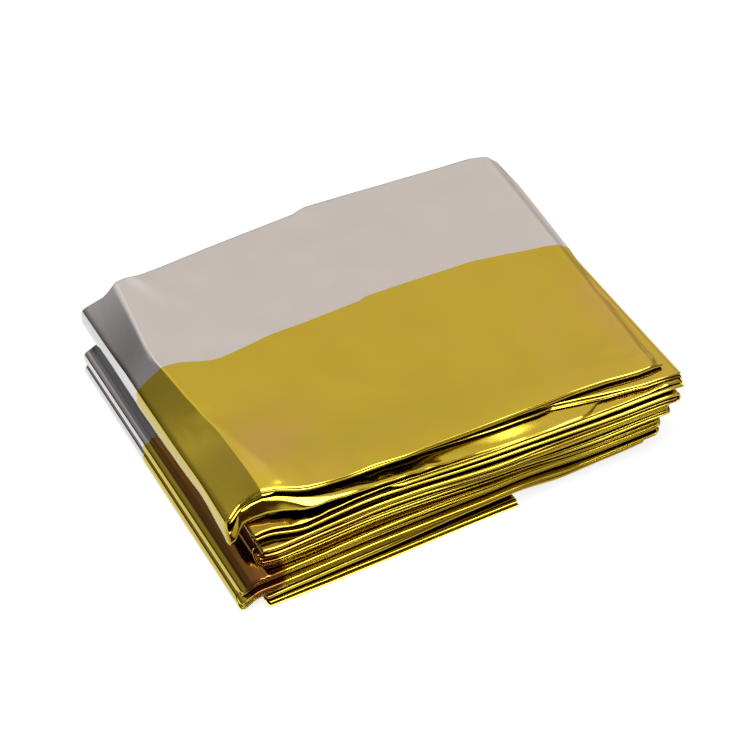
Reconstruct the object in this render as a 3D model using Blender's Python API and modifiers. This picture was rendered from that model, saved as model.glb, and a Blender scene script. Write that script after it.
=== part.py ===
"""Emergency foil blanket, folded into its pack.

One sheet of metallised film is pleated across its width into a strip, and the strip is folded back
and forth along its length. The solid is that strip: one ribbon in a back-and-forth section, with a
fold at each end of every layer. The layers fan out to the front, sag past the ends of shorter ones
and part under the arched top at the front left corner.

Metres, +Z up. X runs along the layers, Y from the front edges to the back ones, and the pack lies
on Z = 0. The tables are in millimetres.
"""

import math
from collections import namedtuple

import bmesh
import bpy

MM = 0.001

NAME = "foil_blanket"

# The pleated strip.
STRIP_DEPTH = 97.0
MIDDLE_FRONT = -57.0
THICKNESS = 1.0

# The front and back edges thin down to this share of the thickness, over this width.
EDGE_SHARE = 0.4
EDGE_ROUND = 0.5

# The air between one layer and the next: where the pack is pressed flat, and where it is loose.
TIGHT_GAP = 0.35
LOOSE_GAP = 0.66

# The middle of the pack's box in the tables' own X and Y.
PACK_MIDDLE = (-3.656, -8.157)

# One row for each turn of the strip, from its loose end at the bottom to the one on top. X is the
# outermost line of the turn at the front and at the back, y_front is where the strip's front edge
# passes, and run is the length over which the layers above come down past the turn.
Turn = namedtuple("Turn", "side x_front x_back y_front run")
TURNS = (
    Turn("right", 11.0, 10.0, -59.5, 16.0),
    Turn("left", -61.5, -61.5, -62.6, 8.0),
    Turn("right", 52.0, 52.0, -54.5, 30.0),
    Turn("left", -68.0, -68.6, -61.2, 15.0),
    Turn("right", 54.3, 54.5, -56.5, 30.0),
    Turn("left", -67.4, -68.2, -60.0, 15.0),
    Turn("right", 54.0, 55.0, -57.0, 30.0),
    Turn("left", -60.9, -61.4, -57.6, 15.0),
    Turn("right", 56.8, 55.5, -57.4, 30.0),
    Turn("left", -59.8, -60.6, -57.0, 15.0),
    Turn("right", 59.2, 56.0, -57.3, 30.0),
    Turn("left", -60.6, -60.9, -56.0, 15.0),
    Turn("right", 61.3, 56.6, -55.4, 30.0),
    Turn("left", -65.6, -66.6, -54.6, 15.0),
    Turn("right", 56.6, 57.8, -50.8, 30.0),
)
LAYERS = len(TURNS) - 1

# Places where the layers stand apart: the gap is counted from the bottom one, and the pocket is
# highest at x and everywhere in front of y.
Pocket = namedtuple("Pocket", "gap x y half_x half_y height")
POCKETS = (
    Pocket(11, -51.0, -47.0, 24.0, 30.0, 3.6),
    Pocket(11, -12.0, -50.0, 52.0, 20.0, 1.0),
    Pocket(12, -70.0, 60.0, 13.0, 20.0, 1.3),
    Pocket(12, -45.0, -50.0, 16.0, 22.0, 0.5),
    Pocket(1, 70.0, 60.0, 60.0, 40.0, 0.9),
    Pocket(3, 64.0, 60.0, 48.0, 40.0, 0.7),
    Pocket(6, 60.0, 60.0, 40.0, 40.0, 0.5),
    Pocket(7, 30.0, -50.0, 34.0, 18.0, 0.6),
    Pocket(4, -15.0, -55.0, 30.0, 20.0, 0.5),
    Pocket(9, -30.0, -52.0, 26.0, 22.0, 0.4),
)

# Places where the front edges of some layers are drawn back.
Draw = namedtuple("Draw", "first last x half_x depth")
DRAWS = (
    Draw(12, 13, -46.0, 22.0, 4.6),
    Draw(10, 11, -58.0, 12.0, 3.0),
    Draw(6, 9, -64.0, 10.0, 1.5),
    Draw(8, 9, 10.0, 30.0, -0.8),
    Draw(4, 5, 25.0, 24.0, 0.7),
)

# The crease across the top near its left end, as x at these y, and how far past it the pack is
# pressed down.
CREASE = ((-50.0, -55.0), (4.0, -58.2), (42.0, -56.4))
CREASE_RUN = 6.0
CREASE_PRESS = 0.8

# The corner at the front left is pressed flat.
CORNER = (-62.0, -58.0)
CORNER_REACH = (36.0, 34.0)
CORNER_PRESS = 0.9

# Where the ribbon's points lie: fractions of the way from a layer's left end to the crease, and
# from there to its right end, steps in a turn, and fractions of the strip's depth from the front.
LEFT_OF_CREASE = (0.0, 0.33, 0.67)
RIGHT_OF_CREASE = (0.0, 0.04, 0.09, 0.15, 0.23, 0.33, 0.46, 0.62, 0.80, 0.92, 0.965, 1.0)
TURN_STEPS = 6
ACROSS = (0.0, EDGE_ROUND / STRIP_DEPTH, 0.07, 0.16, 0.28, 0.45, 0.70, 1.0 - EDGE_ROUND / STRIP_DEPTH, 1.0)

# Half the width over which a layer's slope is measured.
SLOPE_STEP = 0.5

GOLD = (0.70, 0.55, 0.09, 1.0)


def hump(distance, half):
    """1 at no distance, falling smoothly to 0 at half."""
    share = min(abs(distance) / half, 1.0)
    return 0.5 + 0.5 * math.cos(math.pi * share)


def crease_x(y):
    """X of the crease at y, straight between its points."""
    for (y0, x0), (y1, x1) in zip(CREASE, CREASE[1:]):
        if y <= y1 or (y1, x1) == CREASE[-1]:
            return x0 + (x1 - x0) * (y - y0) / (y1 - y0)


def outward(turn):
    """1 for a turn at the right end of its layers, -1 at the left."""
    return 1.0 if turn.side == "right" else -1.0


def turn_x(turn, y):
    """X of a turn's outermost line at y."""
    return turn.x_front + (turn.x_back - turn.x_front) * (y - turn.y_front) / STRIP_DEPTH


def presence(layer, x, y):
    """1 where a layer lies, falling to 0 past its ends."""
    share = 1.0
    for turn in TURNS[layer : layer + 2]:
        past = outward(turn) * (x - turn_x(turn, y))
        share *= 1.0 - min(max(past / turn.run, 0.0), 1.0)
    return share


def pressed(x, y):
    """How far the pack is pressed flat at a point, from 0 to 1."""
    facet = CREASE_PRESS * min(max((crease_x(y) - x) / CREASE_RUN, 0.0), 1.0)
    corner = CORNER_PRESS * hump(x - CORNER[0], CORNER_REACH[0]) * hump(y - CORNER[1], CORNER_REACH[1])
    return 1.0 - (1.0 - facet) * (1.0 - corner)


def pocket_height(gap, x, y):
    """How much a gap is opened at a point."""
    height = 0.0
    for pocket in POCKETS:
        if pocket.gap == gap:
            inward = max(y - pocket.y, 0.0)
            height += pocket.height * hump(x - pocket.x, pocket.half_x) * hump(inward, pocket.half_y)
    return height


def layer_z(layer, x, y):
    """Height of the middle of a layer."""
    air = TIGHT_GAP + (LOOSE_GAP - TIGHT_GAP) * (1.0 - pressed(x, y))
    z = THICKNESS / 2
    for below in range(layer):
        z += (THICKNESS + air) * presence(below, x, y) + pocket_height(below, x, y)
    return z


def layer_y(layer, x, across):
    """Y of a layer at x, at a fraction of its depth from the front edge."""
    start, end = TURNS[layer], TURNS[layer + 1]
    front = start.y_front + (end.y_front - start.y_front) * (x - start.x_front) / (end.x_front - start.x_front)
    drawn = sum(d.depth * hump(x - d.x, d.half_x) for d in DRAWS if d.first <= layer <= d.last)
    return front + drawn * (1.0 - across) + STRIP_DEPTH * across


def turn_frame(index, y):
    """Where a turn's flat parts end, the layers' slope there and half the rise from one to the other."""
    turn = TURNS[index]
    edge = turn_x(turn, y)
    rise = layer_z(index, edge, y) - layer_z(index - 1, edge, y)
    x = edge - outward(turn) * (min(rise / 2, THICKNESS) + THICKNESS / 2)
    slope = (layer_z(index, x + SLOPE_STEP, y) - layer_z(index, x - SLOPE_STEP, y)) / (2 * SLOPE_STEP)
    return x, slope, (layer_z(index, x, y) - layer_z(index - 1, x, y)) / 2


def flat_end(layer, index, y):
    """X where a layer's flat part ends at a turn, square to the slope there, or at a loose end."""
    if index in (0, LAYERS):
        return turn_x(TURNS[index], y)
    x, slope, half_rise = turn_frame(index, y)
    lean = slope * half_rise / (1.0 + slope * slope)
    return x - lean if layer == index else x + lean


def layer_points(layer, across):
    """Points along the middle of a layer, from its first turn to its second."""
    level = MIDDLE_FRONT + STRIP_DEPTH * across
    first, second = flat_end(layer, layer, level), flat_end(layer, layer + 1, level)
    left, crease, right = min(first, second), crease_x(level), max(first, second)
    xs = [left + (crease - left) * share for share in LEFT_OF_CREASE]
    xs += [crease + (right - crease) * share for share in RIGHT_OF_CREASE]
    if first > second:
        xs.reverse()
    points = []
    for x in xs:
        y = layer_y(layer, x, across)
        points.append((x, y, layer_z(layer, x, y)))
    return points


def turn_points(index, low, high, across):
    """Points around the middle of a turn, from the end of the layer below to that of the one above."""
    _, slope, _ = turn_frame(index, MIDDLE_FRONT + STRIP_DEPTH * across)
    radius = min(math.hypot(high[0] - low[0], high[2] - low[2]) / 2, THICKNESS)
    reach = outward(TURNS[index]) * radius / math.hypot(1.0, slope)
    points = []
    for step in range(1, TURN_STEPS):
        angle = math.pi * step / TURN_STEPS
        share = 0.5 - 0.5 * math.cos(angle)
        x, y, z = (a + (b - a) * share for a, b in zip(low, high))
        points.append((x + reach * math.sin(angle), y, z + reach * slope * math.sin(angle)))
    return points


def ribbon_line(across):
    """The middle of the whole ribbon at one fraction of its depth, from the bottom up."""
    line = layer_points(0, across)
    for layer in range(1, LAYERS):
        above = layer_points(layer, across)
        line += turn_points(layer, line[-1], above[0], across)
        line += above
    return line


def ribbon_mesh():
    """An open grid, laid on the ribbon's points."""
    lines = [ribbon_line(across) for across in ACROSS]
    stations, width = len(lines[0]), len(lines)
    grid = bmesh.new()
    bmesh.ops.create_grid(grid, x_segments=stations - 1, y_segments=width - 1, size=1.0)
    for vert in grid.verts:
        station = round((vert.co.x + 1.0) / 2 * (stations - 1))
        across = round((vert.co.y + 1.0) / 2 * (width - 1))
        x, y, z = lines[across][station]
        vert.co = ((x - PACK_MIDDLE[0]) * MM, (y - PACK_MIDDLE[1]) * MM, z * MM)
    mesh = bpy.data.meshes.new(NAME)
    grid.to_mesh(mesh)
    grid.free()
    mesh.shade_smooth()
    return mesh


def inner_points(mesh):
    """The ribbon's points that don't lie on its front or back edge."""
    stations = len(mesh.vertices) // len(ACROSS)
    last = len(ACROSS) - 1
    return [v.index for v in mesh.vertices if 0 < v.index // stations < last]


def foil_material():
    """Gold metallised film."""
    material = bpy.data.materials.new("metallised_film")
    material.use_nodes = True
    shader = material.node_tree.nodes["Principled BSDF"]
    shader.inputs["Base Color"].default_value = GOLD
    shader.inputs["Metallic"].default_value = 1.0
    shader.inputs["Roughness"].default_value = 0.22
    return material


def add_blanket(collection):
    """The folded strip as one closed solid: the ribbon given its thickness, with thinned edges."""
    blanket = bpy.data.objects.new(NAME, ribbon_mesh())
    blanket.data.materials.append(foil_material())
    collection.objects.link(blanket)
    inner = blanket.vertex_groups.new(name="inside_the_edges")
    inner.add(inner_points(blanket.data), 1.0, "REPLACE")
    solidify = blanket.modifiers.new("thickness", "SOLIDIFY")
    solidify.thickness = THICKNESS * MM
    solidify.offset = 0.0
    solidify.use_even_offset = True
    solidify.vertex_group = inner.name
    solidify.thickness_vertex_group = EDGE_SHARE
    return blanket


def main():
    for old in list(bpy.data.objects):
        bpy.data.objects.remove(old, do_unlink=True)
    collection = bpy.data.collections.new("emergency_foil_blanket")
    bpy.context.scene.collection.children.link(collection)
    add_blanket(collection)


main()
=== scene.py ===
"""Emergency foil blanket, folded into its pack: the film itself, its colours, and the studio.

The sheet of film is pleated across its width into a strip of seventeen plies, and the strip is
folded back and forth in fourteen layers. Gold is on one face of the film and silver on the other,
so the strip shows gold in front and silver behind. Every ply is modelled. The film is one sheet, and
it is split at the turns on the right, because it has too many faces for one mesh.

Metres, +Z up. The tables and the film's points are in millimetres, with X along the layers and Y
from the front edges to the back ones, and move into the frame when the meshes are made.
"""

import math
from collections import namedtuple

import bpy
import numpy as np
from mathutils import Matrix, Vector


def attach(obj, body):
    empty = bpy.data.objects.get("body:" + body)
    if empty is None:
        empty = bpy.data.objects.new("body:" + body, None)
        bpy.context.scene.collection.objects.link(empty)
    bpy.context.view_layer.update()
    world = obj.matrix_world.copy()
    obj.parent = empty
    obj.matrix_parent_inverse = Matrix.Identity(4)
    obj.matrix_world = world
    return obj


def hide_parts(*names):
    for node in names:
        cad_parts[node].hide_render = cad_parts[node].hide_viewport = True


MM = 0.001
NODE = "foil_blanket"

# ---------------------------------------------------------------------------------------------
# The pack, as the solid has it
# ---------------------------------------------------------------------------------------------

STRIP_DEPTH = 97.0
THICKNESS = 1.0

# The air between two layers, where the pack is pressed flat and where it is loose.
TIGHT_GAP = 0.35
LOOSE_GAP = 0.66

# Y of a typical front edge, and the place of the frame's origin.
TYPICAL_FRONT = -57.0
PACK_MIDDLE = (-3.656, -8.157)

# The strip's loose ends and the turns between them, from the bottom up: the side each is on, X of its
# outermost line at the front and at the back, Y of its front edge, and over what length past it the
# layers above come down.
Turn = namedtuple("Turn", "side x_front x_back y_front run")
TURNS = (
    Turn("right", 11.0, 10.0, -59.5, 16.0),
    Turn("left", -61.5, -61.5, -62.6, 8.0),
    Turn("right", 52.0, 52.0, -54.5, 30.0),
    Turn("left", -68.0, -68.6, -61.2, 15.0),
    Turn("right", 54.3, 54.5, -56.5, 30.0),
    Turn("left", -67.4, -68.2, -60.0, 15.0),
    Turn("right", 54.0, 55.0, -57.0, 30.0),
    Turn("left", -60.9, -61.4, -57.6, 15.0),
    Turn("right", 56.8, 55.5, -57.4, 30.0),
    Turn("left", -59.8, -60.6, -57.0, 15.0),
    Turn("right", 59.2, 56.0, -57.3, 30.0),
    Turn("left", -60.6, -60.9, -56.0, 15.0),
    Turn("right", 61.3, 56.6, -55.4, 30.0),
    Turn("left", -65.6, -66.6, -54.6, 15.0),
    Turn("right", 56.6, 57.8, -50.8, 30.0),
)
LAYERS = len(TURNS) - 1
TOP = LAYERS - 1
NEXT = TOP - 1

# Where the gap over a layer stands open: the layer, the middle along X, the Y behind which it closes,
# its reach along X and Y, and how far it opens.
Pocket = namedtuple("Pocket", "layer x y half_x half_y height")
POCKETS = (
    Pocket(11, -51.0, -47.0, 24.0, 30.0, 3.6),
    Pocket(11, -12.0, -50.0, 52.0, 20.0, 1.0),
    Pocket(12, -70.0, 60.0, 13.0, 20.0, 1.3),
    Pocket(12, -45.0, -50.0, 16.0, 22.0, 0.5),
    Pocket(1, 70.0, 60.0, 60.0, 40.0, 0.9),
    Pocket(3, 64.0, 60.0, 48.0, 40.0, 0.7),
    Pocket(6, 60.0, 60.0, 40.0, 40.0, 0.5),
    Pocket(7, 30.0, -50.0, 34.0, 18.0, 0.6),
    Pocket(4, -15.0, -55.0, 30.0, 20.0, 0.5),
    Pocket(9, -30.0, -52.0, 26.0, 22.0, 0.4),
    Pocket(11, -5.0, -57.0, 46.0, 9.0, 0.5),
)

# The middle layers press together along their fronts.
POCKETS += tuple(Pocket(layer, 10.0, -57.0, 60.0, 9.0, -0.13) for layer in range(6, 11))

# Where front edges are drawn back: the first and the last layer, the middle and the reach along X, and
# how far.
Draw = namedtuple("Draw", "first last x half_x depth")
DRAWS = (
    Draw(10, 11, -58.0, 12.0, 3.0),
    Draw(6, 9, -64.0, 10.0, 1.5),
    Draw(8, 9, 10.0, 30.0, -0.8),
    Draw(4, 5, 25.0, 24.0, 0.7),
)

# The front edge of the layer on top: how far it is drawn back, at X from left to right.
TOP_FRONT = (
    (
        -66.5, -64.0, -61.0, -58.0, -55.0, -52.0, -49.4, -47.0, -44.5,
        -41.0, -35.0, -27.0, -18.0, 2.0, 18.0, 31.0, 41.0, 50.0,
    ),
    (
        3.4, 6.6, 8.0, 7.9, 7.1, 5.9, 4.3, 2.9, 2.0,
        1.5, 1.3, 1.3, 0.4, 0.9, 1.1, 1.5, 1.2, 0.1,
    ),
)

# The same for the layer under it.
NEXT_FRONT = (
    (-66.5, -64.0, -61.0, -58.0, -55.0, -52.0, -49.4, -47.0, -44.5, -40.0, -35.0, -28.0),
    (1.6, 5.0, 6.6, 6.6, 6.0, 4.9, 3.4, 2.0, 1.0, 0.0, -0.4, 0.0),
)

# The back edges of these two layers: how far they lie inside the strip's depth.
TOP_BACK = (
    (
        -65.0, -62.5, -59.7, -56.5, -53.4, -48.8, -43.0, -36.6, -28.5, -19.0,
        -8.8, -0.8, 0.2, 12.7, 31.9, 46.0, 51.2, 55.7, 58.0,
    ),
    (
        1.7, 2.5, 3.4, 2.0, 1.5, 2.2, 2.0, 1.5, 0.9, 0.4,
        -0.1, -0.5, -1.7, -0.9, 0.0, 1.3, 1.9, 3.6, 6.9,
    ),
)

# The loose right end on top: how far it lies inside its line, at Y from front to back.
TOP_END = ((-52.0, -39.0, -20.0, 0.0, 30.0, 40.0, 45.0), (-0.7, -0.5, 0.8, -0.4, -0.6, 0.3, 2.0))

# The crease across the left of the top: Y from front to back, and its X there.
CREASE = ((-50.0, -22.0, -6.0, 10.6, 28.0, 42.0), (-55.0, -55.4, -57.6, -59.2, -57.2, -55.8))

# How far the pack is pressed flat to the left of the crease, and over what length that begins.
CREASE_RUN = 6.0
CREASE_PRESS = 0.8

# The front-left corner is pressed flat too: its X and Y, its reach along both, and how far.
CORNER = (-62.0, -58.0)
CORNER_REACH = (36.0, 34.0)
CORNER_PRESS = 0.9

# The layer under the one on top hangs down at its left end: how far, from which X and over what length.
SAG = 1.8
SAG_FROM = -60.5
SAG_RUN = 4.5

# How much longer the fall past a right end is for each layer further up.
RUN_GROWTH = 0.12

# The layer on top is straight from the crease to a line this far inside its left end, and runs on past
# that line for a share of the same way.
FACET_INSET = 2.0
FACET_REACH = 1.2

# How much lower the left end of the layer on top lies, at Y from front to back.
FACET_DROP = ((-56.0, -30.0, -5.0, 12.0, 24.0, 44.0), (0.7, 0.4, -0.25, -0.3, 0.35, 0.45))

# ---------------------------------------------------------------------------------------------
# The film
# ---------------------------------------------------------------------------------------------

PLIES = 17
FRONT_FOLDS = PLIES // 2
FILM = 0.02

# Where the free edge on top lies, as a share of the strip's depth.
FREE_EDGE = 0.6

# How far the free edge on top lies in front of that place, at X from left to right.
FREE_EDGE_SHIFT = ((-60.0, -45.0, -28.0, 32.0, 50.0, 56.0), (0.0, 2.2, 0.8, 0.8, 3.3, 3.8))

# How much of the air between two layers the plies spread into.
SPREAD = 0.8

# At which distances from the front the plies still lie as their front folds do, and how far.
FOLD_REACH = ((0.0, 2.9, 9.7), (1.0, 0.6, 0.0))

# How close together the inner plies lie away from the folds, as a share of even distances.
SQUEEZE = 0.6

# Where points lie on a ply, as shares of its depth: from the front fold to the free edge of the first
# ply and from there on to the back, close together on the layers on top, and on the other plies.
PLY_FRONT = 0.003
PLY_BACK = 0.997
NEAR_STEPS = 27
NEAR_BUNCHING = 1.35
FAR_STEPS = 14
CLOSE_NEAR = tuple(
    PLY_FRONT + (FREE_EDGE - PLY_FRONT) * (step / NEAR_STEPS) ** NEAR_BUNCHING
    for step in range(NEAR_STEPS + 1)
)
CLOSE_FAR = tuple(
    FREE_EDGE + (PLY_BACK - FREE_EDGE) * math.sin(math.pi / 2 * step / FAR_STEPS)
    for step in range(1, FAR_STEPS + 1)
)
SPARSE_NEAR = (0.003, 0.012, 0.022, 0.033, 0.045, 0.06, 0.08, 0.12, 0.19, 0.30, 0.45, 0.60)
SPARSE_FAR = (0.72, 0.86, 0.96, 0.997)
INNER_PLY = (0.004, 0.03, 0.10, 0.19, 0.28, 0.40, 0.985)
CLOSE_INNER_PLY = (0.004, 0.03, 0.10, 0.19, 0.28, 0.40, 0.62, 0.80, 0.985)
LAST_FULL_PLY = (0.004, 0.03, 0.10, 0.19, 0.28, 0.40, 0.60, 0.80, 0.985)
LAST_PLY = (0.985, 0.80, 0.60)

# Angles of the points around a front fold and around a back one.
FRONT_LOOP = (60.0, 30.0, 0.0, -30.0, -60.0)
BACK_LOOP = (45.0, 0.0, -45.0)

# Stations along a layer: shares of the way from its left end to the crease, the ones at the crease, how
# many there are from there to its right end and how they bunch at both, and how many around a turn.
LEFT_STATIONS = (0.0, 0.05, 0.07, 0.16, 0.18, 0.25, 0.27, 0.36, 0.38, 0.49, 0.51, 0.66, 0.82, 0.975)
CREASE_STATIONS = (0.0, 0.002)
RIGHT_STATIONS = 60
TOP_STATIONS = 78
RIGHT_BUNCHING = 0.45
TURN_STATIONS = 7

# The folds that show in front of each layer: the number of the fold from the layer's upper face, its
# share of the thickness there, how far it stands out past the layer's front, how deep its round front
# is, how far down (or up) the nose of that front is, and from which X to which it shows.
Fold = namedtuple("Fold", "layer number share out bulge nose x_from x_to", defaults=(-99.0, 99.0))
FOLDS = (
    Fold(13, 1, 0.5, 0.0, 0.2, 0.9),
    Fold(13, 3, 0.6, 0.1, 0.2, 0.9),
    Fold(13, 6, 0.4, -0.5, 0.3, 0.2, -45.0, 20.0),
    Fold(13, 6, 0.5, 0.5, 0.3, 0.2, -99.0, -45.0),
    Fold(12, 8, 2.6, -0.8, 2.2, 0.8, -99.0, -28.0),
    Fold(12, 8, 0.6, -0.2, 1.2, 0.5, -46.0, 40.0),
    Fold(12, 3, 0.6, -4.0, 0.5, 0.3, -36.0, 30.0),
    Fold(11, 1, 0.5, 0.2, 0.4, 0.0),
    Fold(11, 3, 1.2, 1.0, 0.5, 0.0, -30.0, 99.0),
    Fold(11, 5, 0.6, -0.8, 0.4, 0.0),
    Fold(10, 3, 1.0, 0.2, 0.6, 0.3),
    Fold(10, 7, 0.4, -0.9, 0.3, 0.0),
    Fold(9, 2, 0.6, 0.2, 0.4, 0.2),
    Fold(9, 4, 0.4, -0.3, 0.2, 0.0, -40.0, 99.0),
    Fold(9, 6, 0.7, -0.1, 0.5, 0.0),
    Fold(8, 1, 0.4, 0.1, 0.2, 0.0, -45.0, 99.0),
    Fold(8, 4, 1.2, -0.2, 0.8, 0.4),
    Fold(8, 7, 0.5, 0.0, 0.2, -0.2),
    Fold(7, 2, 0.5, -1.8, 0.4, 0.3, -99.0, 30.0),
    Fold(7, 4, 0.5, -0.2, 0.2, -0.2),
    Fold(7, 7, 0.7, 0.2, 0.4, 0.3),
    Fold(6, 2, 0.5, -1.2, 0.4, -0.2),
    Fold(6, 4, 0.4, -0.3, 0.2, -0.3),
    Fold(6, 6, 1.0, 0.0, 0.4, -0.4),
    Fold(6, 8, 0.4, 0.1, 0.2, -0.3),
    Fold(5, 1, 0.5, 0.5, 0.3, -0.3),
    Fold(5, 3, 0.5, 0.4, 0.3, -0.4),
    Fold(5, 5, 0.5, 0.3, 0.3, -0.4),
    Fold(5, 7, 0.5, 0.2, 0.3, -0.3),
    Fold(4, 1, 0.5, 0.2, 0.3, -0.4),
    Fold(4, 4, 0.6, 0.1, 0.3, -0.4),
    Fold(4, 7, 0.5, -0.1, 0.3, -0.4),
    Fold(3, 2, 1.0, 0.4, 0.5, -0.3),
    Fold(3, 4, 0.5, 0.2, 0.2, -0.3),
    Fold(3, 5, 0.4, 0.0, 0.2, -0.3),
    Fold(3, 7, 0.5, -0.2, 0.3, -0.4),
    Fold(2, 2, 0.6, 0.0, 0.3, -0.4),
    Fold(2, 4, 0.5, 0.1, 0.2, -0.3),
    Fold(2, 6, 0.6, 0.3, 0.3, -0.4),
    Fold(2, 8, 0.4, 0.2, 0.2, -0.3),
    Fold(1, 4, 2.2, -0.8, 0.5, 0.9),
    Fold(0, 2, 0.6, -0.4, 0.4, 0.3),
    Fold(0, 7, 0.8, 0.4, 0.5, 0.0),
)

# Over what length a fold comes and goes at its ends.
FOLD_RAMP = 9.0

# The folds that don't show: their share of the thickness, and how deep they lie.
HIDDEN_SHARE = 0.06
HIDDEN_DEPTH = 3.4

# The same depth in the layer under the one on top, at X from left to right.
NEXT_HIDDEN = ((-45.0, 10.0, 34.0, 50.0), (7.5, 6.5, 3.4, 1.4))

# How much of its share of the thickness a fold leaves free on either side.
SLACK = 0.16

# How uneven the folds are along X: amounts of smooth noise, each with its step.
UNEVEN_HIDDEN = ((0.9, 31.0),)
UNEVEN_SHARE = ((0.35, 26.0), (0.10, 7.0))
UNEVEN_DEPTH = ((0.25, 38.0), (0.08, 9.0))
UNEVEN_BULGE = ((0.4, 24.0),)
UNEVEN_NOSE = ((0.4, 28.0),)
NOSE_LIMIT = 0.9

# The back folds: how far they lie inside the strip's depth, by how much that varies along X and over what
# step, how far each fold's waves are moved along X, how much deeper some folds lie and how these take
# turns, and how many times as deep they lie in the layer under the one on top.
BACK_INSET = 0.3
BACK_WAVE = 0.3
BACK_STEP = 23.0
BACK_SHIFT = 37.0
BACK_STAGGER = 0.5
BACK_CYCLE = 4.8
NEXT_BACK_DEEPER = 2.0

# The layer on top thins out to its loose end: the share of its thickness there, and over what length.
END_THICKNESS = 0.6
END_RUN = 2.5

# How square the turns are, from 0 for square to 1 for round: the uppermost one, and the others.
TOP_TURN_ROUNDNESS = 0.3
TURN_ROUNDNESS = 0.7

# How many stations at either side of a turn lean as the layer there does, over what length that lean is
# taken, and the most that it is.
LEANING = 2
LEAN_RUN = 0.5
STEEPEST = 0.8

# Seeds of the smooth noise: how far apart they are for two layers and for two of a layer's folds, the same
# for the folds that don't show, and where the other kinds start.
LAYER_SEEDS = 100
FOLD_SEEDS = 7
HIDDEN_LAYER_SEEDS = 20
HIDDEN_SEED = 1000
BACK_SEED = 3000
RIDGE_SEED = 60
RELIEF_SEED = 5
CRUMPLE_SEED = 71

# How many values the noise has along a line, and along each side of a plane.
LINE_VALUES = 512
PLANE_VALUES = 256


def hump(distance, half):
    """1 at no distance, falling smoothly to 0 at half."""
    share = np.minimum(np.abs(distance) / half, 1.0)
    return 0.5 + 0.5 * np.cos(np.pi * share)


def smooth(share):
    """0 to 1, level at both ends."""
    share = np.clip(share, 0.0, 1.0)
    return share * share * (3.0 - 2.0 * share)


def wave(seed, step, x):
    """Smooth noise along a line, from -1 to 1, with a new value every step."""
    values = np.random.default_rng(seed).uniform(-1.0, 1.0, LINE_VALUES)
    place = x / step + LINE_VALUES / 2
    low = np.floor(place).astype(int)
    share = smooth(place - low)
    return values[low] * (1.0 - share) + values[low + 1] * share


def ripple(seed, step, x, y):
    """Smooth noise over a plane, from -1 to 1, with a new value every step."""
    values = np.random.default_rng(seed).uniform(-1.0, 1.0, (PLANE_VALUES, PLANE_VALUES))
    across, along = x / step + PLANE_VALUES / 2, y / step + PLANE_VALUES / 2
    i, j = np.floor(across).astype(int), np.floor(along).astype(int)
    u, v = smooth(across - i), smooth(along - j)
    near = values[i, j] * (1.0 - u) + values[i + 1, j] * u
    far = values[i, j + 1] * (1.0 - u) + values[i + 1, j + 1] * u
    return near * (1.0 - v) + far * v


def uneven(seed, waves, x):
    """Noise along a line, as a sum of amounts with their steps."""
    return sum(amount * wave(seed + number, step, x) for number, (amount, step) in enumerate(waves))


def rippled(seed, waves, x, y):
    """Noise over a plane, as a sum of amounts with their steps."""
    return sum(amount * ripple(seed + number, step, x, y) for number, (amount, step) in enumerate(waves))


def crease_x(y):
    """X of the crease at y, straight between its points."""
    return np.interp(y, *CREASE)


def outward(index):
    """1 for a turn at the right end of its layers, -1 at the left."""
    return 1.0 if TURNS[index].side == "right" else -1.0


def turn_x(index, y):
    """X of a turn's outermost line at y."""
    turn = TURNS[index]
    return turn.x_front + (turn.x_back - turn.x_front) * (y - turn.y_front) / STRIP_DEPTH


def presence(layer, x, y, above):
    """How much of a layer's height carries one that lies so many layers above it: less past its ends."""
    share = 1.0
    for index in (layer, layer + 1):
        past = outward(index) * (x - turn_x(index, y))
        run = TURNS[index].run
        if TURNS[index].side == "right":
            run = run * (1.0 + RUN_GROWTH * (above - 1))
        share = share * (1.0 - smooth(past / run))
    return share


def pressed(x, y):
    """How far the pack is pressed flat at a point, from 0 to 1."""
    facet = CREASE_PRESS * np.clip((crease_x(y) - x) / CREASE_RUN, 0.0, 1.0)
    corner = CORNER_PRESS * hump(x - CORNER[0], CORNER_REACH[0]) * hump(y - CORNER[1], CORNER_REACH[1])
    return 1.0 - (1.0 - facet) * (1.0 - corner)


def pocket_height(layer, x, y):
    """How far the gap over a layer is opened at a point."""
    height = 0.0 * x
    for pocket in POCKETS:
        if pocket.layer == layer:
            open_x = hump(x - pocket.x, pocket.half_x)
            open_y = hump(np.maximum(y - pocket.y, 0.0), pocket.half_y)
            height = height + pocket.height * open_x * open_y
    return height


def air(x, y):
    """The air between two layers."""
    return TIGHT_GAP + (LOOSE_GAP - TIGHT_GAP) * (1.0 - pressed(x, y))


def layer_z(layer, x, y):
    """Height of the middle of a layer: the one on top is straight from the crease to its left end."""
    if layer != TOP:
        return loose_z(layer, x, y)
    crease, edge = crease_x(y), turn_x(TOP, y) + FACET_INSET
    share = np.clip((crease - x) / (crease - edge), 0.0, FACET_REACH)
    straight = loose_z(layer, crease, y) * (1.0 - share) + loose_z(layer, edge, y) * share
    return np.where(x < crease, straight - np.interp(y, *FACET_DROP) * share, loose_z(layer, x, y))


def loose_z(layer, x, y):
    """Height of the middle of a layer, as the layers under it carry it."""
    pitch = THICKNESS + air(x, y)
    z = THICKNESS / 2 + 0.0 * x
    for below in range(layer):
        z = z + pitch * presence(below, x, y, layer - below) + pocket_height(below, x, y)
    if layer == NEXT:
        z = z - SAG * smooth((SAG_FROM - x) / SAG_RUN)
    return z


def front_y(layer, x):
    """Y of a layer's front edge at x, where nothing draws it back."""
    start, end = TURNS[layer], TURNS[layer + 1]
    slope = (end.y_front - start.y_front) / (end.x_front - start.x_front)
    return start.y_front + slope * (x - start.x_front)


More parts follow.
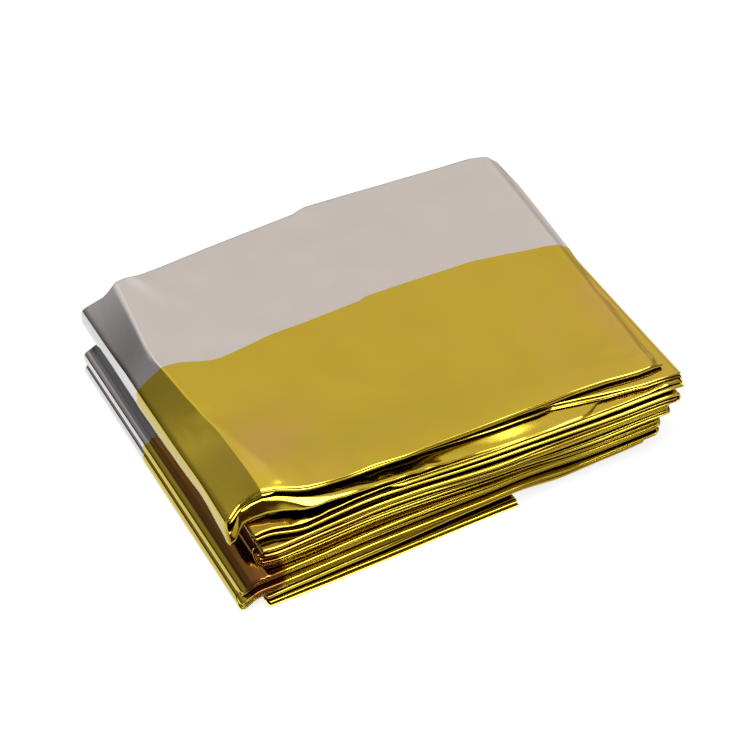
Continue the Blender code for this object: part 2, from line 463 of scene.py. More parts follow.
def drawn_back(layer, x):
    """How far a layer's front edge is drawn back at x."""
    if layer == TOP:
        return np.interp(x, *TOP_FRONT)
    if layer == NEXT:
        return np.interp(x, *NEXT_FRONT)
    depth = 0.0 * x
    for draw in DRAWS:
        if draw.first <= layer <= draw.last:
            depth = depth + draw.depth * hump(x - draw.x, draw.half_x)
    return depth


# The points of the section across the strip, as columns: the plies on their two sides, their place on the
# ply, the angle around a fold, which is 90 on a ply, and -1 at a front fold, 1 at a back one and else 0.
Section = namedtuple("Section", "upper lower share angle end")


def section(near, far, inner_ply):
    """The section's points in order, from the free edge of the first ply to that of the last."""
    points = [(1, 1, share, 90.0, 0) for share in reversed(near)]
    for ply in range(2, PLIES + 1):
        front = ply % 2 == 0
        loop = FRONT_LOOP if front else BACK_LOOP
        points += [(ply - 1, ply, 0.0 if front else 1.0, angle, -1 if front else 1) for angle in loop]
        inner = inner_ply if front else tuple(reversed(inner_ply))
        shares = {2: near + far, PLIES - 1: LAST_FULL_PLY, PLIES: LAST_PLY}.get(ply, inner)
        points += [(ply, ply, share, 90.0, 0) for share in shares]
    upper, lower, share, angle, end = (np.array(column) for column in zip(*points))
    return Section(upper, lower, share, np.radians(angle), end)


CLOSE = section(CLOSE_NEAR, CLOSE_FAR, CLOSE_INNER_PLY)
SPARSE = section(SPARSE_NEAR, SPARSE_FAR, INNER_PLY)


def fold_tables(layer, x):
    """The front folds from side A's face, at each x: share, depth, bulge and nose."""
    up = 1.0 if layer % 2 else -1.0
    table = np.zeros((4, FRONT_FOLDS) + x.shape)
    table[0] = HIDDEN_SHARE
    hidden = np.interp(x, *NEXT_HIDDEN) if layer == NEXT else HIDDEN_DEPTH
    for fold in range(FRONT_FOLDS):
        seed = HIDDEN_SEED + HIDDEN_LAYER_SEEDS * layer + fold
        table[1, fold] = hidden + uneven(seed, UNEVEN_HIDDEN, x)
    for row in FOLDS:
        if row.layer != layer:
            continue
        fold = row.number - 1 if layer % 2 else FRONT_FOLDS - row.number
        seed = LAYER_SEEDS * layer + FOLD_SEEDS * fold
        shown = smooth((x - row.x_from) / FOLD_RAMP) * smooth((row.x_to - x) / FOLD_RAMP)
        share = row.share * (1.0 + uneven(seed, UNEVEN_SHARE, x))
        depth = uneven(seed + 2, UNEVEN_DEPTH, x) - row.out
        bulge = row.bulge * (1.0 + uneven(seed + 4, UNEVEN_BULGE, x))
        nose = up * np.clip(row.nose + uneven(seed + 5, UNEVEN_NOSE, x), -NOSE_LIMIT, NOSE_LIMIT)
        table[0, fold] += (share - HIDDEN_SHARE) * shown
        table[1, fold] += (depth - table[1, fold]) * shown
        table[2, fold] += (bulge - table[2, fold]) * shown
        table[3, fold] += (nose - table[3, fold]) * shown
    return table


def levels(shares):
    """Levels of the plies at the front, in parts of the thickness, from side A's face. Row 0 is unused."""
    edges = 0.5 - np.cumsum(shares, axis=0) / np.sum(shares, axis=0)
    upper = np.concatenate([np.full((1,) + edges.shape[1:], 0.5), edges[:-1]])
    slack = SLACK * (upper - edges)
    table = np.zeros((PLIES + 1,) + edges.shape[1:])
    table[1:PLIES - 1:2] = upper - slack
    table[2:PLIES:2] = edges + slack
    table[PLIES] = -0.5
    return table


def even_level(ply):
    """Level of a ply where the plies lie evenly."""
    return 0.5 - (ply - 0.5) / PLIES


# Plies that stand apart from the one next to them near the front: how far at most, over which X, how
# deep, and how far in front of the ply the most would be.
Swell = namedtuple("Swell", "layer ply x half_x half_y height lead", defaults=(0.0,))
SWELLS = (
    Swell(12, 1, -57.0, 18.0, 22.0, 3.2),
    Swell(12, 1, 6.0, 44.0, 10.0, 2.0, 3.0),
    Swell(12, 2, 6.0, 44.0, 10.0, 2.0, 3.0),
    Swell(13, 16, -67.0, 11.0, 12.0, -2.2),
)


def swollen(layer, ply, x, inward):
    """How far a ply hangs or stands off from its level."""
    rise = 0.0 * x
    for swell in SWELLS:
        if swell.layer == layer:
            here = hump(x - swell.x, swell.half_x) * hump(inward + swell.lead, swell.half_y)
            rise = rise + np.where(ply == swell.ply, swell.height * here, 0.0)
    return rise


# Folds that run along the left end of a layer: their height at its first stations, and how uneven it is.
RIDGED = 5
RIDGE_UNEVEN = ((0.3, 30.0),)
RIDGE_LINE = (0.0, 0.0, 0.42, 0.08, 0.50, 0.06, 0.46, 0.02, 0.40, 0.02, 0.36)


def ridges(y):
    """Height of the folds along a left end."""
    line = np.zeros((len(y), 1))
    line[:len(RIDGE_LINE), 0] = RIDGE_LINE
    return line * (1.0 + uneven(RIDGE_SEED, RIDGE_UNEVEN, y))


# How much less the second ply rises than the first.
SECOND_LESS = 0.5


def lifted(cut, height):
    """A height of the upper face as its two upper plies take it: the second keeps clear of the first."""
    less = SECOND_LESS * ((cut.upper + cut.lower) / 2 - 1)[None, :]
    taken = height * np.where(height > 0.0, 1.0 - less, 1.0)
    return np.where(cut.lower[None, :] <= 2, taken, 0.0)


# Creases of the upper face: from where to where, half width, height, and the share of it at the far end.
Stroke = namedtuple("Stroke", "x0 y0 x1 y1 half height kept")
STROKES = (
    Stroke(-50.7, 40.3, -45.9, 25.1, 2.2, 0.30, 0.2),
    Stroke(-50.7, 40.3, -29.5, 4.8, 3.0, 0.34, 0.1),
    Stroke(-49.8, 38.6, -47.4, 36.8, 1.2, 0.22, 1.0),
    Stroke(-47.0, 39.0, -12.0, 30.0, 3.0, 0.16, 0.3),
    Stroke(-54.6, -13.8, -60.5, -15.5, 1.7, -0.26, 0.6),
    Stroke(-54.0, -21.0, -50.0, -46.0, 2.4, 0.20, 0.6),
    Stroke(46.6, -5.6, 48.6, -8.6, 1.3, 0.16, 1.0),
    Stroke(48.6, -8.6, 51.6, -8.2, 1.3, 0.16, 1.0),
    Stroke(45.0, -39.6, 54.0, -41.4, 1.6, 0.20, 0.8),
    Stroke(40.0, -44.0, 53.0, -46.4, 1.8, 0.16, 0.6),
    Stroke(50.5, -47.0, 55.5, -44.5, 1.0, 0.36, 0.6),
    Stroke(52.0, -49.8, 54.6, -45.0, 0.9, -0.20, 0.8),
    Stroke(47.0, -47.8, 51.5, -49.0, 1.0, 0.30, 0.6),
    Stroke(54.0, -49.5, 55.8, -47.5, 0.9, 0.32, 1.0),
    Stroke(-7.2, 13.0, -0.4, 13.3, 0.9, -0.16, 1.0),
    Stroke(20.0, 38.0, 44.0, 14.0, 3.4, 0.12, 0.5),
    Stroke(-20.0, -20.0, 14.0, -40.0, 5.0, 0.12, 0.3),
)


def stroke_height(stroke, x, y):
    """Height of one crease."""
    along_x, along_y = stroke.x1 - stroke.x0, stroke.y1 - stroke.y0
    share = ((x - stroke.x0) * along_x + (y - stroke.y0) * along_y) / (along_x ** 2 + along_y ** 2)
    share = np.clip(share, 0.0, 1.0)
    away = np.hypot(x - stroke.x0 - share * along_x, y - stroke.y0 - share * along_y)
    return stroke.height * (1.0 + (stroke.kept - 1.0) * share) * hump(away, stroke.half)


# The soft waves of the upper face: between which Y, over what length they fade there, their middle
# height, and amounts of smooth noise, each with its step.
WAVES_FRONT = -54.0
WAVES_BACK = 39.0
WAVES_FADE = 8.0
WAVES_HEIGHT = 0.12
WAVES = ((0.08, 17.0), (0.04, 8.0))


def relief(x, y):
    """Creases and soft waves of the upper face."""
    inside = smooth((y - WAVES_FRONT) / WAVES_FADE) * smooth((WAVES_BACK - y) / WAVES_FADE)
    height = inside * (WAVES_HEIGHT + rippled(RELIEF_SEED, WAVES, x, y))
    for stroke in STROKES:
        height = height + stroke_height(stroke, x, y)
    return height


# Crumples of the film where it lies open in front: layer, middle and reach along X, how deep from the
# front, and height.
Crumple = namedtuple("Crumple", "layer x half_x depth height")
CRUMPLES = (
    Crumple(11, 0.0, 160.0, 9.0, 0.10),
    Crumple(12, -18.0, 26.0, 6.0, 0.50),
    Crumple(11, -48.0, 12.0, 9.0, 0.45),
    Crumple(9, 0.0, 160.0, 4.0, 0.05),
    Crumple(7, 0.0, 160.0, 4.0, 0.05),
    Crumple(5, 0.0, 160.0, 4.0, 0.04),
    Crumple(11, 56.0, 9.0, 9.0, 0.35),
    Crumple(9, 57.0, 9.0, 9.0, 0.25),
)

# The grain of the crumples: amounts of smooth noise, each with its step, its deepest troughs, and at
# which share of their depth the crumples begin to fade.
GRAIN = ((1.0, 3.1), (0.6, 1.7))
GRAIN_TROUGH = -0.6
CRUMPLE_FADE = 0.5


def crumpled(layer, x, y, along):
    """Height of the crumples of a layer."""
    height = 0.0 * x
    for crumple in CRUMPLES:
        if crumple.layer == layer:
            grain = np.maximum(rippled(CRUMPLE_SEED + layer, GRAIN, x, y), GRAIN_TROUGH)
            reach = hump(x - crumple.x, crumple.half_x)
            reach = reach * smooth(1.0 + CRUMPLE_FADE - along / crumple.depth)
            height = height + crumple.height * grain * reach
    return height


def crossings(layer, share, level):
    """X where each line along a layer starts, crosses the crease and ends."""
    left, right = sorted((layer, layer + 1), key=outward)
    near = crease_x(level)
    front = front_y(layer, near) + drawn_back(layer, near) * (1.0 - share)
    crease = crease_x(front + STRIP_DEPTH * share)
    return flat_end(layer, left, level), crease, flat_end(layer, right, level)


def layer_points(layer, stations, cut):
    """Points of one layer, one row for each station."""
    share, end = cut.share[None, :], cut.end[None, :]
    sine, cosine = np.sin(cut.angle)[None, :], np.cos(cut.angle)[None, :]
    level = TYPICAL_FRONT + STRIP_DEPTH * share
    left, crease, right = crossings(layer, share, level)
    to_crease = np.arange(len(stations))[:, None] < len(LEFT_STATIONS)
    way = stations[:, None]
    x = np.where(to_crease, left + (crease - left) * way, crease + (right - crease) * way)

    # Each ply's front and back lines, and the place between them.
    folds = fold_tables(layer, x)
    front_levels = levels(folds[0])
    rows, columns = np.indices(x.shape)
    fold = np.clip((cut.lower + 1) // 2 - 1, 0, FRONT_FOLDS - 1)[None, :] + 0 * rows
    _, depth, bulge, nose = folds[:, fold, rows, columns]
    front = np.where(cut.lower[None, :] == PLIES, 0.0, depth)
    along = front + (STRIP_DEPTH - back_line(layer, x, cut) - front) * share
    if layer == TOP:
        nearness = np.interp(share, (0.0, FREE_EDGE, 1.0), (0.0, 1.0, 0.0))
        along = along - np.interp(x, *FREE_EDGE_SHIFT) * nearness

    # The folds' rounds.
    upper = ply_offset(layer, cut.upper, x, level, along, front_levels)
    lower = ply_offset(layer, cut.lower, x, level, along, front_levels)
    middle, half = (upper + lower) / 2, (upper - lower) / 2
    bulge = np.where(end < 0, np.maximum(bulge, np.abs(half)), np.abs(half))
    nose = np.where(end < 0, nose, 0.0)
    along = along + end * bulge * cosine * (1.0 - nose * sine)
    away = middle + half * sine

    # The place in the pack. The plies of the lowest layer stay over the floor.
    y = front_y(layer, x) + drawn_back(layer, x) * (1.0 - np.clip(along / STRIP_DEPTH, 0.0, 1.0)) + along
    height = layer_z(layer, x, y)
    room = np.clip((height - FILM) / (thickness(x, level) / 2), 0.0, 1.0)
    z = height + np.where(away < 0.0, away * room, away)
    z = z + lifted(cut, relief(x, y) if layer == TOP else crumpled(layer, x, y, along))
    if layer == RIDGED:
        z = z + lifted(cut, ridges(y))
    return np.stack([x, y, z], axis=-1)


def back_line(layer, x, cut):
    """How far each ply's back lies inside the strip's depth."""
    fold = np.maximum(cut.lower, 2)[None, :] // 2
    back = BACK_INSET + BACK_WAVE * wave(BACK_SEED + layer, BACK_STEP, x + BACK_SHIFT * fold)
    back = back + BACK_STAGGER * (0.5 + 0.5 * np.sin(BACK_CYCLE * fold + layer))
    if layer < NEXT:
        return back
    deeper = NEXT_BACK_DEEPER if layer == NEXT else 1.0
    return np.interp(x, *TOP_BACK) + np.where(fold == 1, 0.0, back) * deeper


def ply_offset(layer, ply, x, y, along, front_levels):
    """Height of a ply from the middle of its layer."""
    rows, columns = np.indices(x.shape)
    lies = np.interp(along, *FOLD_REACH)
    table = front_levels[ply[None, :] + 0 * rows, rows, columns]
    inner = (ply > 2) & (ply < PLIES - 1)
    even = (even_level(ply) * np.where(inner, SQUEEZE, 1.0))[None, :]
    share = even + (table - even) * lies
    share = np.where(ply[None, :] == PLIES, even, share)
    kept = thinning(layer, x, y)
    share = share * kept - 0.5 * (1.0 - kept)
    sign = 1.0 if layer % 2 else -1.0
    return sign * (share * thickness(x, y) + swollen(layer, ply[None, :] + 0 * rows, x, along))


def thickness(x, y):
    """Thickness of a layer of plies at a point."""
    return THICKNESS + SPREAD * air(x, y)


def thinning(layer, x, y):
    """Share of its thickness that a layer keeps: the one on top thins out to its loose end."""
    if layer != TOP:
        return 1.0 + 0.0 * x
    return END_THICKNESS + (1.0 - END_THICKNESS) * smooth((turn_x(LAYERS, y) - x) / END_RUN)


def flat_end(layer, index, y):
    """X where a layer's flat part ends, at a turn or at a loose end."""
    edge = turn_x(index, y)
    if index == LAYERS:
        return edge - np.interp(y, *TOP_END)
    if index == 0:
        return edge
    rise = layer_z(index, edge, y) - layer_z(index - 1, edge, y)
    return edge - outward(index) * (np.minimum(rise / 2, THICKNESS) + thickness(edge, y) / 2)


def turn_points(index, low, high):
    """Points around a turn, between the last row of the layer below and the first of the one above."""
    low_lean, high_lean = lean(index - 1, index, low), lean(index, index, high)
    middle, half = (low + high) / 2, (high - low) / 2
    size = np.abs(half[:, 2])
    reach = size * min(1.0, THICKNESS / np.median(size))
    roundness = TOP_TURN_ROUNDNESS if index == TOP else TURN_ROUNDNESS
    rows = []
    for step in range(1, TURN_STATIONS + 1):
        angle = math.pi * step / (TURN_STATIONS + 1)
        cosine = math.copysign(abs(math.cos(angle)) ** roundness, math.cos(angle))
        sine = math.sin(angle) ** roundness
        row = middle - half * cosine
        row[:, 0] += outward(index) * reach * sine
        share = smooth((step - LEANING) / (TURN_STATIONS + 1 - 2 * LEANING))
        row[:, 2] += share * high_lean * (row[:, 0] - high[:, 0])
        row[:, 2] += (1.0 - share) * low_lean * (row[:, 0] - low[:, 0])
        rows.append(row)
    return np.stack(rows)


def lean(layer, index, row):
    """Slope of a layer at its turn, from left to right."""
    x, y = row[:, 0], row[:, 1]
    inside = x - LEAN_RUN * outward(index)
    slope = (layer_z(layer, x, y) - layer_z(layer, inside, y)) / (x - inside)
    return np.clip(slope, -STEEPEST, STEEPEST)


def layer_stations(count):
    """Shares of the way along a layer, from its left end to its right one."""
    steps = np.linspace(0.0, 1.0, count)
    bunched = steps - RIGHT_BUNCHING * np.sin(2.0 * math.pi * steps) / (2.0 * math.pi)
    return np.concatenate([LEFT_STATIONS, CREASE_STATIONS, bunched[1:]])


def layer_rows(layer, cut):
    """A layer's rows in the strip's own order."""
    stations = layer_stations(TOP_STATIONS if layer == TOP else RIGHT_STATIONS)
    points = layer_points(layer, stations, cut)
    return points[::-1] if layer % 2 == 0 else points


def strip_rows():
    """The whole strip as stretches of rows, one for each pair of layers, from the bottom up."""
    stretches = []
    for layer in range(0, LAYERS, 2):
        cut = CLOSE if layer + 1 == TOP else SPARSE
        first, second = layer_rows(layer, cut), layer_rows(layer + 1, cut)
        parts = [first, turn_points(layer + 1, first[-1], second[0]), second]
        if layer + 2 < LAYERS:
            above = layer_rows(layer + 2, cut)
            parts += [turn_points(layer + 2, second[-1], above[0]), above[:1]]
        stretches.append((np.concatenate(parts), cut))
    return stretches


# ---------------------------------------------------------------------------------------------
# Materials
# ---------------------------------------------------------------------------------------------

# The sockets of a node that mixes colours. Some of their names stand for more than one of them.
MIX_SHARE = 0
MIX_FIRST = 6
MIX_SECOND = 7
MIX_COLOUR = 2


def add_node(tree, kind, **settings):
    """A node with its settings."""
    node = tree.nodes.new(kind)
    for name, value in settings.items():
        setattr(node, name, value)
    return node


def mapped(tree, value, low, high, to_low, to_high):
    """A value taken from one range to another."""
    node = add_node(tree, "ShaderNodeMapRange", interpolation_type="SMOOTHSTEP")
    for name, number in zip(("From Min", "From Max", "To Min", "To Max"), (low, high, to_low, to_high)):
        node.inputs[name].default_value = number
    tree.links.new(value, node.inputs["Value"])
    return node.outputs["Result"]


def blended(tree, share, first, second):
    """One colour going over to another. Each is a colour or a node's output."""
    node = add_node(tree, "ShaderNodeMix", data_type="RGBA")
    tree.links.new(share, node.inputs[MIX_SHARE])
    for number, colour in ((MIX_FIRST, first), (MIX_SECOND, second)):
        if isinstance(colour, tuple):
            node.inputs[number].default_value = colour + (1.0,)
        else:
            tree.links.new(colour, node.inputs[number])
    return node.outputs[MIX_COLOUR]


# Noise that varies the film: its cycles for each metre, detail and distortion, and the range of it that is
# taken to the values at the end. The crinkles' height is in metres.
Grain = namedtuple(
    "Grain", "scale detail distortion low high to_low to_high", defaults=(0.0, 1.0, 0.0, 1.0)
)
PATCHES = Grain(22.0, 2.0, 0.4, 0.50, 0.80, 0.0, 0.4)
SHADES = Grain(60.0, 3.0, 0.0, 0.35, 0.75, 0.0, 1.0)
ROUGHER = Grain(90.0, 3.0, 0.0, 0.3, 0.7, 0.8, 1.3)
CRINKLES = Grain(260.0, 3.0, 0.6)
CRINKLE_STRENGTH = 0.06
CRINKLE_HEIGHT = 0.0003

# The clear coat of the film.
COAT = 0.3
COAT_ROUGHNESS = 0.08
COAT_IOR = 1.5

# Painted shade between the folds: how far around a point, in metres, the folds that shelter it are looked
# for, and how open a place with the full painted shade and one without any are.
PAINTED_SHADE_REACH = 0.004
PAINTED_SHADE_SAMPLES = 6
PAINTED_SHADE_RANGE = (0.10, 0.45)

# Painted shade in the hollows under the left end of the layer on top and behind its arched corner, all
# along the pack: middle, reach, the share of the reach with the full painted shade, and how deep that is.
ShadedHollow = namedtuple("ShadedHollow", "x z half_x half_z full depth")
SHADED_HOLLOWS = (
    ShadedHollow(-60.4, 7.6, 6.3, 6.5, 0.8, 0.9),
    ShadedHollow(-47.0, 14.6, 24.0, 5.2, 0.55, 0.6),
)

# Spots on top where the film is tinted. The one at the front left is a pinkish tint, and the two at the
# loose right end are a painted peach highlight along that edge. Given: the most of the tint, their height
# in metres, how fast they fade above and below it, and the middle and reach of each in the tables'
# millimetres.
SPOT_TINT_AND_HIGHLIGHT = 0.75
SPOT_HEIGHT = 0.024
SPOT_STEEPNESS = 180.0
TintAndHighlightSpot = namedtuple("TintAndHighlightSpot", "x y half_x half_y")
TINT_AND_HIGHLIGHT_SPOTS = (
    TintAndHighlightSpot(-43.0, -34.0, 24.0, 27.0),
    TintAndHighlightSpot(55.0, -26.0, 13.0, 40.0),
    TintAndHighlightSpot(56.2, -24.0, 2.4, 44.0),
)


def noise(tree, place, grain):
    """Noise at the object's own coordinates."""
    node = add_node(tree, "ShaderNodeTexNoise")
    node.inputs["Scale"].default_value = grain.scale
    node.inputs["Detail"].default_value = grain.detail
    node.inputs["Distortion"].default_value = grain.distortion
    tree.links.new(place, node.inputs["Vector"])
    return node.outputs["Fac"]


def varied(tree, place, grain, times=1.0):
    """Noise in the range that it is taken to, times a number."""
    low, high = times * grain.to_low, times * grain.to_high
    return mapped(tree, noise(tree, place, grain), grain.low, grain.high, low, high)


def distance(tree, place, middle, scales):
    """Distance from a point, with each axis scaled by its own number."""
    away = add_node(tree, "ShaderNodeVectorMath", operation="SUBTRACT")
    tree.links.new(place, away.inputs[0])
    away.inputs[1].default_value = middle
    scaled = add_node(tree, "ShaderNodeVectorMath", operation="MULTIPLY")
    tree.links.new(away.outputs[0], scaled.inputs[0])
    scaled.inputs[1].default_value = scales
    length = add_node(tree, "ShaderNodeVectorMath", operation="LENGTH")
    tree.links.new(scaled.outputs[0], length.inputs[0])
    return length.outputs["Value"]


def spot_tint_and_highlight(tree, place, spot):
    """The tint of a spot on top of the pack, which at the loose right end is a painted highlight: the most
    in its middle, none outside it.
    """
    middle = ((spot.x - PACK_MIDDLE[0]) * MM, (spot.y - PACK_MIDDLE[1]) * MM, SPOT_HEIGHT)
    scales = (1.0 / (spot.half_x * MM), 1.0 / (spot.half_y * MM), SPOT_STEEPNESS)
    return mapped(tree, distance(tree, place, middle, scales), 0.0, 1.0, SPOT_TINT_AND_HIGHLIGHT, 0.0)


def highest(tree, first, second):
    """The higher of two values."""
    node = add_node(tree, "ShaderNodeMath", operation="MAXIMUM")
    tree.links.new(first, node.inputs[0])
    tree.links.new(second, node.inputs[1])
    return node.outputs[0]


def painted_shade_share(tree, place):
    """The share of painted shade, where the film is darkened and reddened to stand in for shade: 0 on the
    open film, and up to 1 between folds and in the hollows.
    """
    node = add_node(tree, "ShaderNodeAmbientOcclusion", samples=PAINTED_SHADE_SAMPLES)
    node.inputs["Distance"].default_value = PAINTED_SHADE_REACH
    share = mapped(tree, node.outputs["AO"], *PAINTED_SHADE_RANGE, 1.0, 0.0)
    for shaded_hollow in SHADED_HOLLOWS:
        middle = ((shaded_hollow.x - PACK_MIDDLE[0]) * MM, 0.0, shaded_hollow.z * MM)
        scales = (1.0 / (shaded_hollow.half_x * MM), 0.0, 1.0 / (shaded_hollow.half_z * MM))
        inside = mapped(tree, distance(tree, place, middle, scales), shaded_hollow.full, 1.0, shaded_hollow.depth, 0.0)
        share = highest(tree, share, inside)
    return share


# The two faces of the film: their metal colour; the tints of random patches and shades in it, where the
# patch tint also colours the spots on top and their painted highlight; the darker colour painted deep in
# the folds and hollows as shade; and the roughness.
Face = namedtuple("Face", "name colour patch shade deep roughness")
FACES = (
    Face(
        name="film_gold",
        colour=(0.56, 0.44, 0.033),
        patch=(0.59, 0.375, 0.10),
        shade=(0.54, 0.425, 0.03),
        deep=(0.17, 0.05, 0.006),
        roughness=0.10,
    ),
    Face(
        name="film_silver",
        colour=(0.62, 0.62, 0.62),
        patch=(0.615, 0.605, 0.59),
        shade=(0.63, 0.64, 0.64),
        deep=(0.22, 0.24, 0.25),
        roughness=0.12,
    ),
)


def film_material(face):
    """Metallised film, as one of its faces shows it."""
    material = bpy.data.materials.new(face.name)
    material.use_nodes = True
    tree = material.node_tree
    shader = tree.nodes["Principled BSDF"]
    place = add_node(tree, "ShaderNodeTexCoord").outputs["Object"]
    patches_and_highlights = varied(tree, place, PATCHES)
    # Spots on top: a pinkish tint at the front left, and a painted peach highlight along the loose right
    # end.
    for spot in TINT_AND_HIGHLIGHT_SPOTS:
        patches_and_highlights = highest(tree, patches_and_highlights, spot_tint_and_highlight(tree, place, spot))
    tinted_and_highlighted = blended(tree, patches_and_highlights, face.colour, face.patch)
    open_film = blended(tree, varied(tree, place, SHADES), tinted_and_highlighted, face.shade)
    # Painted shade: the film turns darker and redder between folds and in the hollows, standing in for
    # shade.
    colour = blended(tree, painted_shade_share(tree, place), open_film, face.deep)
    tree.links.new(colour, shader.inputs["Base Color"])
    tree.links.new(varied(tree, place, ROUGHER, face.roughness), shader.inputs["Roughness"])
    shader.inputs["Metallic"].default_value = 1.0
    shader.inputs["Coat Weight"].default_value = COAT
    shader.inputs["Coat Roughness"].default_value = COAT_ROUGHNESS
    shader.inputs["Coat IOR"].default_value = COAT_IOR
    bump = add_node(tree, "ShaderNodeBump")
    bump.inputs["Strength"].default_value = CRINKLE_STRENGTH
    bump.inputs["Distance"].default_value = CRINKLE_HEIGHT
    tree.links.new(noise(tree, place, CRINKLES), bump.inputs["Height"])
    tree.links.new(bump.outputs["Normal"], shader.inputs["Normal"])
    return material


# ---------------------------------------------------------------------------------------------
# Meshes
# ---------------------------------------------------------------------------------------------

# How close to its edges a stretch has one more line of points, as a share of the first step.
EDGE_LINE = 0.01

# The least length that a normal is divided by.
TINY = 1e-9


def edged(rows):
    """The same grid with one more line close to its first and its last, which keeps its edges sharp."""
    first = rows[:1] + (rows[1:2] - rows[:1]) * EDGE_LINE
    last = rows[-1:] + (rows[-2:-1] - rows[-1:]) * EDGE_LINE
    return np.concatenate([rows[:1], first, rows[1:-1], last, rows[-1:]])


def grid_normals(rows):
    """Unit normals of a grid of points, towards the gold face."""
    along = np.gradient(rows, axis=0)
    across = np.gradient(rows, axis=1)
    normals = np.cross(across, along)
    return normals / np.maximum(np.linalg.norm(normals, axis=2, keepdims=True), TINY)


def grid_quads(numbers):
    """Quads of a grid of point numbers."""
    corners = (numbers[:-1, :-1], numbers[:-1, 1:], numbers[1:, 1:], numbers[1:, :-1])
    return np.stack(corners, axis=-1).reshape(-1, 4)


def quads_between(first, second):
    """Quads between two equally long lines of point numbers."""
    return np.stack([first[:-1], first[1:], second[1:], second[:-1]], axis=-1).reshape(-1, 4)


def film_mesh(name, rows):
    """The film as a closed skin on rows of points: its gold face, its silver face and its cut edges."""
    rows = edged(edged(rows).swapaxes(0, 1)).swapaxes(0, 1)
    stations, width = rows.shape[:2]
    away = grid_normals(rows) * FILM / 2
    points = np.concatenate([(rows + away).reshape(-1, 3), (rows - away).reshape(-1, 3)])
    points = (points - np.array([PACK_MIDDLE[0], PACK_MIDDLE[1], 0.0])) * MM
    gold = np.arange(stations * width).reshape(stations, width)
    silver = gold + stations * width
    parts = (
        grid_quads(gold),
        grid_quads(silver)[:, (0, 3, 2, 1)],
        quads_between(silver[0], gold[0]),
        quads_between(gold[-1], silver[-1]),
        quads_between(gold[:, 0], silver[:, 0]),
        quads_between(silver[:, -1], gold[:, -1]),
    )
    sizes = [len(part) for part in parts]
    quads = np.concatenate(parts)
    mesh = bpy.data.meshes.new(name)
    mesh.vertices.add(len(points))
    mesh.vertices.foreach_set("co", points.ravel())
    mesh.loops.add(quads.size)
    mesh.loops.foreach_set("vertex_index", quads.ravel())
    mesh.polygons.add(len(quads))
    mesh.polygons.foreach_set("loop_start", np.arange(0, quads.size, 4))
    mesh.polygons.foreach_set("material_index", np.repeat([0, 1, 0, 0, 0, 0], sizes))
    mesh.polygons.foreach_set("use_smooth", np.repeat([True, True, False, False, False, False], sizes))
    mesh.update(calc_edges=True)
    return mesh


def add_film(name, rows, materials):
    """One stretch of the film."""
    mesh = film_mesh(name, rows)
    for material in materials:
        mesh.materials.append(material)
    piece = bpy.data.objects.new(name, mesh)
    bpy.context.scene.collection.objects.link(piece)
    return piece


def add_blanket():
    """The film in stretches of two layers, each riding on the part and standing for its solid."""
    materials = [film_material(face) for face in FACES]
    for number, (rows, cut) in enumerate(strip_rows()):
        piece = add_film(f"film_{number + 1}", rows, materials)
        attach(piece, "root")
        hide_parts(NODE)


# ---------------------------------------------------------------------------------------------
# Studio
# ---------------------------------------------------------------------------------------------

# The camera, fitted to the photo's outline: degrees, metres, and millimetres of focal length. It looks at
# the origin of the tables.
CAMERA_AZIMUTH = -26.6
CAMERA_ELEVATION = 43.3
CAMERA_DISTANCE = 0.903
CAMERA_LENS = 163.2
CAMERA_CLIP = 0.01
CAMERA_TARGET = (-PACK_MIDDLE[0] * MM, -PACK_MIDDLE[1] * MM, 0.0)


def direction(azimuth, elevation):
    """Unit vector towards a direction, with azimuth 0 in front of the pack and 90 on its right."""
    a, e = math.radians(azimuth), math.radians(elevation)
    return Vector((math.sin(a) * math.cos(e), -math.cos(a) * math.cos(e), math.sin(e)))


def add_camera():
    """The camera, looking at its target."""
    camera = bpy.data.objects.new("camera", bpy.data.cameras.new("camera"))
    bpy.context.scene.collection.objects.link(camera)
    camera.data.lens = CAMERA_LENS
    camera.data.clip_start = CAMERA_CLIP
    back = direction(CAMERA_AZIMUTH, CAMERA_ELEVATION)
    camera.location = Vector(CAMERA_TARGET) + back * CAMERA_DISTANCE
    camera.rotation_euler = back.to_track_quat("Z", "Y").to_euler()
    bpy.context.scene.camera = camera


# Soft lights around the pack, seen in the film: where each is, how wide its full and its outermost
# part are in degrees, and its colour. The ambient light is all round.
Glow = namedtuple("Glow", "azimuth elevation full fade colour")
GLOWS = (
    Glow(163.0, 46.0, 14.0, 47.0, (0.77, 0.705, 0.645)),
    Glow(95.0, 35.0, 5.0, 55.0, (0.20, 0.185, 0.17)),
    Glow(-30.0, 84.0, 23.0, 32.0, (9.0, 9.0, 9.0)),
    Glow(212.0, 48.0, 16.0, 42.0, (0.25, 0.26, 0.27)),
    Glow(-70.0, 14.0, 12.0, 36.0, (0.95, 0.88, 0.78)),
    Glow(132.0, 6.0, 5.0, 16.0, (1.0, 0.77, 0.56)),
    Glow(24.0, 2.0, 18.0, 46.0, (0.90, 0.76, 0.54)),
)
AMBIENT = (0.060, 0.028, 0.022)


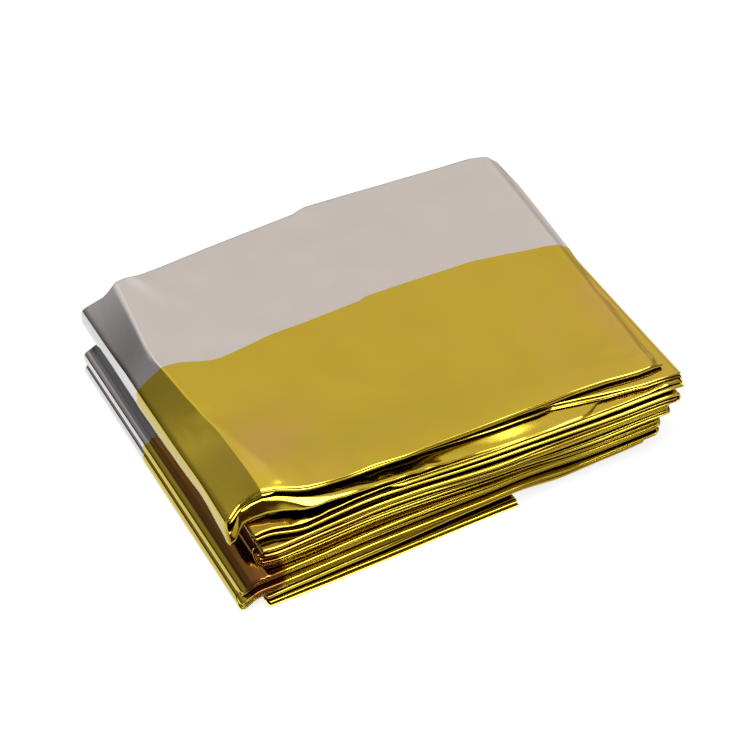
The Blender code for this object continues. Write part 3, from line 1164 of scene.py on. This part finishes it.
def add_world():
    """Soft light from all round, as smooth patches on a dark room."""
    world = bpy.data.worlds.new("studio")
    bpy.context.scene.world = world
    world.use_nodes = True
    tree = world.node_tree
    ray = add_node(tree, "ShaderNodeTexCoord").outputs["Generated"]
    total = None
    for glow in GLOWS:
        towards = add_node(tree, "ShaderNodeVectorMath", operation="DOT_PRODUCT")
        tree.links.new(ray, towards.inputs[0])
        towards.inputs[1].default_value = direction(glow.azimuth, glow.elevation)
        near = math.cos(math.radians(glow.full))
        far = math.cos(math.radians(glow.fade))
        share = mapped(tree, towards.outputs["Value"], far, near, 0.0, 1.0)
        light = blended(tree, share, (0.0, 0.0, 0.0), glow.colour)
        add = add_node(tree, "ShaderNodeMix", data_type="RGBA", blend_type="ADD")
        add.inputs[MIX_SHARE].default_value = 1.0
        if total is None:
            add.inputs[MIX_FIRST].default_value = AMBIENT + (1.0,)
        else:
            tree.links.new(total, add.inputs[MIX_FIRST])
        tree.links.new(light, add.inputs[MIX_SECOND])
        total = add.outputs[MIX_COLOUR]
    tree.links.new(total, tree.nodes["Background"].inputs["Color"])


# The floor: half its width in metres, the grey of its surface, its roughness and its own light.
FLOOR_REACH = 3.0
FLOOR_GREY = 0.09
FLOOR_ROUGHNESS = 0.9
FLOOR_LIGHT = 0.84


def add_floor():
    """A plain pale floor."""
    mesh = bpy.data.meshes.new("floor")
    signs = ((-1, -1), (1, -1), (1, 1), (-1, 1))
    corners = [(x * FLOOR_REACH, y * FLOOR_REACH, 0.0) for x, y in signs]
    mesh.from_pydata(corners, [], [(0, 1, 2, 3)])
    floor = bpy.data.objects.new("floor", mesh)
    bpy.context.scene.collection.objects.link(floor)
    material = bpy.data.materials.new("floor")
    material.use_nodes = True
    shader = material.node_tree.nodes["Principled BSDF"]
    shader.inputs["Base Color"].default_value = (FLOOR_GREY, FLOOR_GREY, FLOOR_GREY, 1.0)
    shader.inputs["Roughness"].default_value = FLOOR_ROUGHNESS
    shader.inputs["Emission Color"].default_value = (1.0, 1.0, 1.0, 1.0)
    shader.inputs["Emission Strength"].default_value = FLOOR_LIGHT
    mesh.materials.append(material)


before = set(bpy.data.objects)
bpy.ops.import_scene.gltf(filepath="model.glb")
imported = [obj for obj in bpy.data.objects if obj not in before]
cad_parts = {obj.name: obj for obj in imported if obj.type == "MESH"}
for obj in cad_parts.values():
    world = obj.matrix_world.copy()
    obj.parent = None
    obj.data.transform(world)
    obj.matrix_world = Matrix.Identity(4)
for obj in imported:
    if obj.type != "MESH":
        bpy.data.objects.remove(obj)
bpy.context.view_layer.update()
add_camera()
add_blanket()
add_floor()
add_world()
bpy.context.scene.view_settings.view_transform = "Standard"
